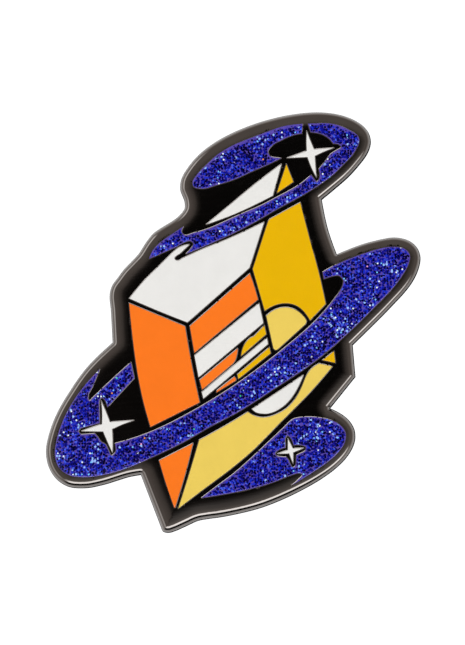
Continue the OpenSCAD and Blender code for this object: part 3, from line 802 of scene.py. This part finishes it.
class Path:
    """A bent line in a plane with rounded corners, to fold a flat sheet along."""

    def __init__(self, corners, radii):
        corners = [np.array(c, float) for c in corners]
        line = [corners[0]]
        for a, b, c, radius in zip(corners, corners[1:], corners[2:], radii):
            u, v = unit(b - a), unit(c - b)
            turn = float(between(u, v))
            reach = radius * math.tan(abs(turn) / 2)
            start = b - u * reach
            side = np.array([-u[1], u[0]]) * math.copysign(1, turn)
            for t in np.linspace(0, abs(turn), max(3, math.ceil(abs(turn) / math.radians(12)))):
                line.append(start + u * radius * math.sin(t) + side * radius * (1 - math.cos(t)))
        line.append(corners[-1])
        line = np.array(line)
        keep = np.r_[True, np.linalg.norm(np.diff(line, axis=0), axis=1) > 1e-6]
        self.line = line[keep]
        self.s = np.r_[0, np.cumsum(np.linalg.norm(np.diff(self.line, axis=0), axis=1))]
        way = unit(np.diff(self.line, axis=0))
        angle = np.unwrap(np.arctan2(way[:, 1], way[:, 0]))
        self.angle = np.r_[angle[0], (angle[1:] + angle[:-1]) / 2, angle[-1]]
        self.length = self.s[-1]

    def at(self, s, lift):
        """The point s along the line and lift to its left."""
        angle = np.interp(s, self.s, self.angle)
        x, y = (np.interp(s, self.s, self.line[:, i]) for i in (0, 1))
        return x - np.sin(angle) * lift, y + np.cos(angle) * lift

    def find(self, height, low, high):
        """How far along the line, in this part of it, the line is at this height."""
        part = (self.s >= low * self.length) & (self.s <= high * self.length)
        s, heights = self.s[part], self.line[part, 1]
        order = np.argsort(heights)
        return float(np.interp(height, heights[order], s[order]))


def dense(loop, step):
    """An outline with points at least every step."""
    out = []
    for a, b in zip(loop, np.roll(loop, -1, 0)):
        n = max(1, math.ceil(np.linalg.norm(b - a) / step))
        out += [a + (b - a) * t / n for t in range(n)]
    return np.array(out)


def circle(x, y, radius, stretch=0.0, count=40):
    """A round hole as an outline, or an oblong one that is stretch longer in x."""
    angles = np.arange(count) * math.tau / count
    return np.array([(x + radius * math.cos(a) + (stretch / 2 if math.cos(a) > 0 else -stretch / 2),
                      y + radius * math.sin(a)) for a in angles])


def folded(outline, holes, path, thick, fold, soft=0.05):
    """A sheet part. Its flat pattern (distance along the path, sideways) is folded along the path
    and its cut edges are rounded. fold places (plane a, plane b, sideways) as local x, y, z."""
    outline = dense(np.array(outline), 0.16)
    if area(outline) < 0:
        outline = outline[::-1]
    loops = [outline] + [dense(h, 0.16) for h in holes]
    half = thick / 2
    steps = [(soft, half), (soft * 0.3, half - soft * 0.3), (0.0, half - soft),
             (0.0, soft - half), (soft * 0.3, soft * 0.3 - half), (soft, -half)]
    inner = [inset(loop, soft if k == 0 else -soft) for k, loop in enumerate(loops)]
    knots = np.unique(np.round(np.r_[path.s, np.arange(0, path.length, 0.35)], 3))
    across = np.arange(outline[:, 1].min(), outline[:, 1].max(), 0.4)
    grid = np.array([(s, w) for s in knots for w in across])
    grid = grid[inside(grid, inner)]
    grid = grid[Edge(inner).distance(grid)[0] > 0.05]
    flat, tri = fill(inner, thin_out(grid, 0.05))
    co, faces, start = [], [], 0

    def put(points, lift):
        a, b = path.at(points[:, 0], lift)
        co.append(fold(a, b, points[:, 1]))

    put(flat, half)
    put(flat, -half)
    count = len(flat)
    faces += tri.tolist() + (tri[:, ::-1] + count).tolist()
    total, first = 2 * count, 0
    for k, loop in enumerate(loops):
        n = len(loop)
        rows = [np.arange(first, first + n)]
        for d, lift in steps[1:-1]:
            put(inset(loop, d if k == 0 else -d), lift)
            rows.append(np.arange(total, total + n))
            total += n
        rows.append(np.arange(first, first + n) + count)
        first += n
        for p, q in zip(rows, rows[1:]):
            faces += [(p[i], p[(i + 1) % n], q[(i + 1) % n], q[i]) for i in range(n)]
    return np.concatenate(co), faces


def scatter(points, size, seed):
    """Points moved about a little, the way that solder and stamping leave a surface."""
    a, b, c = points.T * 1.7 + seed
    lump = np.sin(2.1 * a + np.sin(1.7 * b)) * np.cos(1.9 * b + 0.7 * np.sin(2.3 * c))
    return points * (1 + size * lump)[:, None] * [1, 1, 0] + points * [0, 0, 1]


def post_piece(name, centre):
    post_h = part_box(name)[1].y / MM
    foot, foot_top, shaft, neck = 2.0, 0.15, 0.55, 0.39
    profile = [(0.001, -0.25), (foot, -0.25), (foot, foot_top), (shaft + 0.12, foot_top),
               (shaft, foot_top + 0.14), (shaft, 2.45), (neck, 2.58), (neck, 2.97), (shaft, 3.1),
               (shaft, 4.6), (neck, 4.73), (neck, 5.12), (shaft, 5.25), (shaft, post_h - 1.1),
               (0.2, post_h - 0.12), (0.08, post_h), (0.001, post_h)]
    points, faces = lathe(soften(profile, 0.05), 56)
    return shaped(name + "_turned", [(on_post(points, centre), faces)], POST_METAL)


def solder_piece(name, centre, seed):
    profile = [(1.99, -0.25), (2.19, -0.25), (2.19, -0.03), (2.13, 0.03), (2.06, 0.085), (1.99, 0.125)]

    def lump(points):
        return scatter(points, -0.004, seed) * [0.997, 0.997, 1]

    points, faces = lathe(soften(profile, 0.02), 96, lump)
    return shaped(name + "_fillet", [(on_post(points, centre), faces)], SOLDER, 60)


def disc_piece(name, centre):
    """The stamped disc: collar, six bumps pressed through the sheet and a rolled rim."""
    rim, tube = CLUTCH_R - 0.4, 0.4
    bumps = [(3.6 * math.cos(a), 3.6 * math.sin(a))
             for a in (math.tau / 6 * (i + 0.5) for i in range(6))]
    plain = np.r_[1.75:3.0:0.25, 3.0:4.3:0.09, 4.3:rim - tube:0.12]
    profile = soften([(0.95, 1.15), (0.95, 0.0), (1.05, 0.0)], 0.1)[4:-4]
    profile += [(r, 0.0) for r in plain]
    turns = np.radians(np.arange(-90, 172, 12))
    profile += [(rim + tube * math.cos(a), tube + tube * math.sin(a)) for a in turns]
    profile += [(r, SHEET) for r in plain[::-1]]
    profile += [(1.6, 0.36), (1.45, 0.4), (1.35, 0.5), (1.3, 0.65), (1.3, 1.05), (1.26, 1.12),
                (1.2, 1.15), (1.02, 1.15), (0.96, 1.11)]

    def press(points):
        flat = (points[:, 2] < 0.01) | (abs(points[:, 2] - SHEET) < 0.005)
        for x, y in bumps:
            d = np.hypot(points[:, 0] - x, points[:, 1] - y)
            dip = 0.115 * (1 - (d / 0.55).clip(0, 1)**2)**2
            points[:, 2] -= np.where(flat & (d < 0.55), dip, 0)
        ring = np.hypot(points[:, 0], points[:, 1])
        groove = 0.05 * (1 - (abs(ring - 2.45) / 0.3).clip(0, 1)**2)**2
        points[:, 2] -= np.where(abs(points[:, 2] - SHEET) < 0.005, groove, 0)
        return points

    points, faces = lathe(profile, 180, press)
    return shaped(name + "_stamping", [(on_post(points, centre), faces)], NICKEL)


def cover_piece(name, centre):
    """The folded cover: feet on the disc, two side walls and a top with the post's hole."""
    mid, top = WALL + SHEET / 2, CLUTCH_H - SHEET / 2
    path = Path([(3.68, 1.5 * SHEET), (mid, 1.5 * SHEET), (mid, top), (-mid, top),
                 (-mid, 1.5 * SHEET), (-3.68, 1.5 * SHEET)], [0.3, 0.42, 0.42, 0.3])
    middle = path.length / 2

    def up(z):
        return path.find(z, 0.0, 0.42)

    half = [(0.0, 1.95), (0.25, 2.2), (up(0.8), 2.2), (up(0.95), 2.85)]
    for a in np.radians(np.linspace(-104.5, -154, 9)):
        half.append((up(CLUTCH_H + 0.35 + 1.6 * math.sin(a)), 3.25 + 1.6 * math.cos(a)))
    half += [(up(CLUTCH_H - 0.3), 1.78), (middle - 1.6, 1.72), (middle, 1.72)]
    mirrored = [(path.length - s, w) for s, w in half[-2::-1]]
    outline = half + mirrored
    outline += [(s, -w) for s, w in outline[::-1]]
    holes = [circle(middle, 0, 1.15)]
    for s in (up(HINGE_Z), path.length - up(HINGE_Z)):
        holes += [circle(s, w, 0.31, count=24) for w in (-HINGE_X, HINGE_X)]
    points, faces = folded(outline, holes, path, SHEET, lambda a, b, w: np.stack([w, a, b], 1), 0.03)
    return shaped(name + "_folding", [(on_post(points, centre), faces)], NICKEL)


def wing_piece(name, centre, side, jaw):
    """Half of the spring strip. side is -1 for the left half, and jaw is the height of its jaw."""
    level, jaw_end = jaw + STRIP_T / 2, 1.34
    path = Path([(jaw_end, level), (-HINGE_X, level), (-HINGE_X, HINGE_Z - 0.2), (-3.45, 1.98),
                 (-4.5, 4.42), (-4.87, 4.77)], [0.4, 0.26, 0.7, 0.35])
    corner = jaw_end + HINGE_X
    tab = (path.length - 3.4) / path.length
    tab_r, tab_z = 2.34, 3.15
    half = [(0.0, 1.1), (0.12, 1.35), (0.35, 1.5), (corner - 0.75, 1.5), (corner - 0.5, 1.85),
            (path.find(1.9, tab, 1.0), 1.85)]
    for z in (2.0, 2.3, 2.7, 3.15, 3.6, 4.0, 4.3, 4.55):
        half.append((path.find(z, tab, 1.0), math.sqrt(tab_r**2 - (z - tab_z)**2)))
    half += [(path.length - 0.1, 1.55), (path.length, 1.35)]
    outline = half + [(s, -w) for s, w in half[::-1]]
    slot = circle(jaw_end + 0.575, 0, 0.62, stretch=1.15, count=36)
    points, faces = folded(outline, [slot], path, STRIP_T, lambda a, b, w: np.stack([a, w, b], 1))
    pieces = [(points, faces), rod(-HINGE_X, HINGE_Z, 0.42, WALL - 0.05),
              rod(-HINGE_X, HINGE_Z, 0.28, WALL + SHEET - 0.02)]
    flip = np.array([-side, 1, 1])
    return shaped(name + "_strip", [(on_post(p * flip, centre), f) for p, f in pieces], SPRING)


for number, which in enumerate(("upper", "lower")):
    lo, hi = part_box(which + "_post")
    at_post = Vector(((lo.x + hi.x) / 2, 0, (lo.z + hi.z) / 2))
    clutch = which + "_clutch"
    at_clutch = at_post + Vector((0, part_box(clutch + "_cover")[1].y - CLUTCH_H * MM, 0))
    fit(post_piece(which + "_post", at_post), "pin", which + "_post")
    fit(solder_piece(which + "_solder_ring", at_post, number), "pin", which + "_solder_ring")
    fit(disc_piece(clutch + "_disc", at_clutch), clutch, clutch + "_disc")
    fit(cover_piece(clutch + "_cover", at_clutch), clutch, clutch + "_cover")
    for side, half, jaw in ((-1, "left", 2.5), (1, "right", 3.65)):
        node = clutch + "_" + half + "_wing"
        fit(wing_piece(node, at_clutch, side, jaw), clutch + "_" + half + "_half", node)

# ------------------------------------------------------------------ camera and light
AIM = Vector((-0.0003, -0.0012, -0.0009))
VIEW_H = 0.0774           # height of the view at the pin
AZIMUTH, ELEVATION = math.radians(3.5), math.radians(-3.5)
ROOM = 0.36               # the dim room in front of the pin
STRIP = 4.4               # the soft boxes below the camera and at its left
MATT = 1.115              # the white room that matt surfaces see


def look(item, target):
    item.rotation_mode = "QUATERNION"
    item.rotation_quaternion = (target - item.location).to_track_quat("-Z", "Y")


camera = bpy.data.objects.new("camera", bpy.data.cameras.new("camera"))
bpy.context.scene.collection.objects.link(camera)
camera.data.lens = 200
camera.data.sensor_width = 36
distance = VIEW_H * camera.data.lens / camera.data.sensor_width
back = Vector((math.sin(AZIMUTH) * math.cos(ELEVATION), -math.cos(AZIMUTH) * math.cos(ELEVATION),
               math.sin(ELEVATION)))
camera.location = AIM + back * distance
look(camera, AIM)
camera.data.clip_start, camera.data.clip_end = 0.01, 20
bpy.context.scene.camera = camera


world = bpy.data.worlds.new("studio")
bpy.context.scene.world = world
world.use_nodes = True


def studio(tree):
    """A white room for the eye and for matt surfaces. What polished surfaces mirror is the room round
    the camera: dark straight ahead, dim in front, white behind the pin, with soft boxes below the
    camera, a window at the left and a dark table edge under the pin."""
    nodes, link = tree.nodes, tree.links.new

    def maths(operation, a, b):
        made = nodes.new("ShaderNodeMath")
        made.operation = operation
        for socket, value in zip(made.inputs, (a, b)):
            if isinstance(value, bpy.types.NodeSocket):
                link(value, socket)
            else:
                socket.default_value = value
        return made.outputs[0]

    def ramp(value, stops, warm=0.0):
        """The tone at value. warm tints the tones of the front half."""
        made = nodes.new("ShaderNodeValToRGB")
        elements = made.color_ramp.elements
        while len(elements) < len(stops):
            elements.new(0.5)
        for element, (place, tone) in zip(elements, stops):
            tint = warm if place < 0.45 else warm * 0.15
            element.position = place
            element.color = (tone, tone * (1 - tint), tone * (1 - 1.6 * tint), 1)
        link(value, made.inputs[0])
        return made.outputs[0]

    parts = nodes.new("ShaderNodeSeparateXYZ")
    link(nodes.new("ShaderNodeTexCoord").outputs["Generated"], parts.inputs[0])
    x, y, z = parts.outputs

    def front(degrees):
        """How far along a ramp from straight ahead (0) to straight behind (1) this angle is."""
        return (1 - math.cos(math.radians(degrees))) / 2

    def reach(degrees):
        """The sideways part of a direction that is this far off straight ahead."""
        return math.sin(math.radians(degrees))

    def side(degrees):
        """How far round the ramp this direction is: 0 is left, then down, right, up and left again."""
        return (degrees % 360) / 360

    depth = maths("ADD", maths("MULTIPLY", y, 0.5), 0.5)
    bearing = maths("ADD", maths("MULTIPLY", maths("ARCTAN2", z, x), 1 / math.tau), 0.5)
    room = ramp(depth, [(front(0), ROOM), (front(62), ROOM), (front(82), 0.65), (front(105), 1.05),
                        (front(150), 1.25)], warm=0.13)
    across = maths("MULTIPLY", maths("ADD", x, reach(1.5)), 1 / reach(10))
    above = maths("SUBTRACT", z, reach(6.5))
    above = maths("MAXIMUM", maths("MULTIPLY", above, 1 / reach(5.5)),
                  maths("MULTIPLY", above, -1 / reach(16)))
    oval = maths("ADD", maths("MULTIPLY", across, across), maths("MULTIPLY", above, above))
    widest = 8  # the ramp ends where the oval's radii are the square root of this times as long
    oval = maths("ADD", maths("MULTIPLY", oval, 1 / widest), depth)
    dark = ramp(oval, [(e / widest, tone) for e, tone in (
        (0, 0.028), (0.25, 0.036), (0.5, 0.11), (0.85, 0.17), (1.1, 0.25), (1.45, 0.44), (2, 0.61),
        (3, 0.83), (4.5, 1))])
    boxes = ramp(depth, [(front(4), 0), (front(10), 0.025), (front(35), 0.03), (front(39), 1),
                         (front(61), 1), (front(64), 0)])
    boxes_side = ramp(bearing, [(side(50), 0), (side(66), 0.9), (side(135), 1), (side(147), 0.5),
                               (side(158), 0)])
    window = ramp(depth, [(front(46), 0), (front(51), 1), (front(70), 1), (front(76), 0)])
    window_side = ramp(bearing, [(side(0), 0.36), (side(10), 0.25), (side(40), 0.2), (side(56), 0),
                                (side(306), 0), (side(318), 0.44), (side(359), 0.36)])
    table = ramp(depth, [(front(60), 0), (front(64), 1), (front(102), 1), (front(109), 0)])
    table_side = ramp(bearing, [(side(50), 0), (side(62), 1), (side(120), 1), (side(132), 0)])
    light = maths("MULTIPLY", maths("ADD", maths("MULTIPLY", boxes, boxes_side),
                                    maths("MULTIPLY", window, window_side)), STRIP)
    shade = maths("MULTIPLY", maths("MULTIPLY", table, table_side), -0.98)
    whole = nodes.new("ShaderNodeVectorMath")
    whole.operation = "SCALE"
    link(room, whole.inputs[0])
    link(maths("MULTIPLY", maths("ADD", shade, 1.0), dark), whole.inputs["Scale"])
    total = nodes.new("ShaderNodeVectorMath")
    link(whole.outputs[0], total.inputs[0])
    link(light, total.inputs[1])
    mirrored, plain = nodes["Background"], nodes.new("ShaderNodeBackground")
    link(total.outputs[0], mirrored.inputs["Color"])
    plain.inputs["Color"].default_value = (MATT, MATT, MATT, 1)
    choose = nodes.new("ShaderNodeMixShader")
    link(nodes.new("ShaderNodeLightPath").outputs["Is Glossy Ray"], choose.inputs[0])
    link(plain.outputs[0], choose.inputs[1])
    link(mirrored.outputs[0], choose.inputs[2])
    link(choose.outputs[0], nodes["World Output"].inputs["Surface"])


studio(world.node_tree)
bpy.context.scene.view_settings.view_transform = "Standard"

floor_mesh = bpy.data.meshes.new("floor")
FLOOR = [(-3, -3, -0.045), (3, -3, -0.045), (3, 3, -0.045), (-3, 3, -0.045)]
floor_mesh.from_pydata(FLOOR, [], [(0, 1, 2, 3)])
floor = bpy.data.objects.new("floor", floor_mesh)
bpy.context.scene.collection.objects.link(floor)
paper = Nodes("paper")
paper.set(Base_Color=(0.97, 0.97, 0.97, 1), Roughness=0.9, Specular_IOR_Level=0.0)
floor_mesh.materials.append(paper.material)
floor.visible_glossy = False
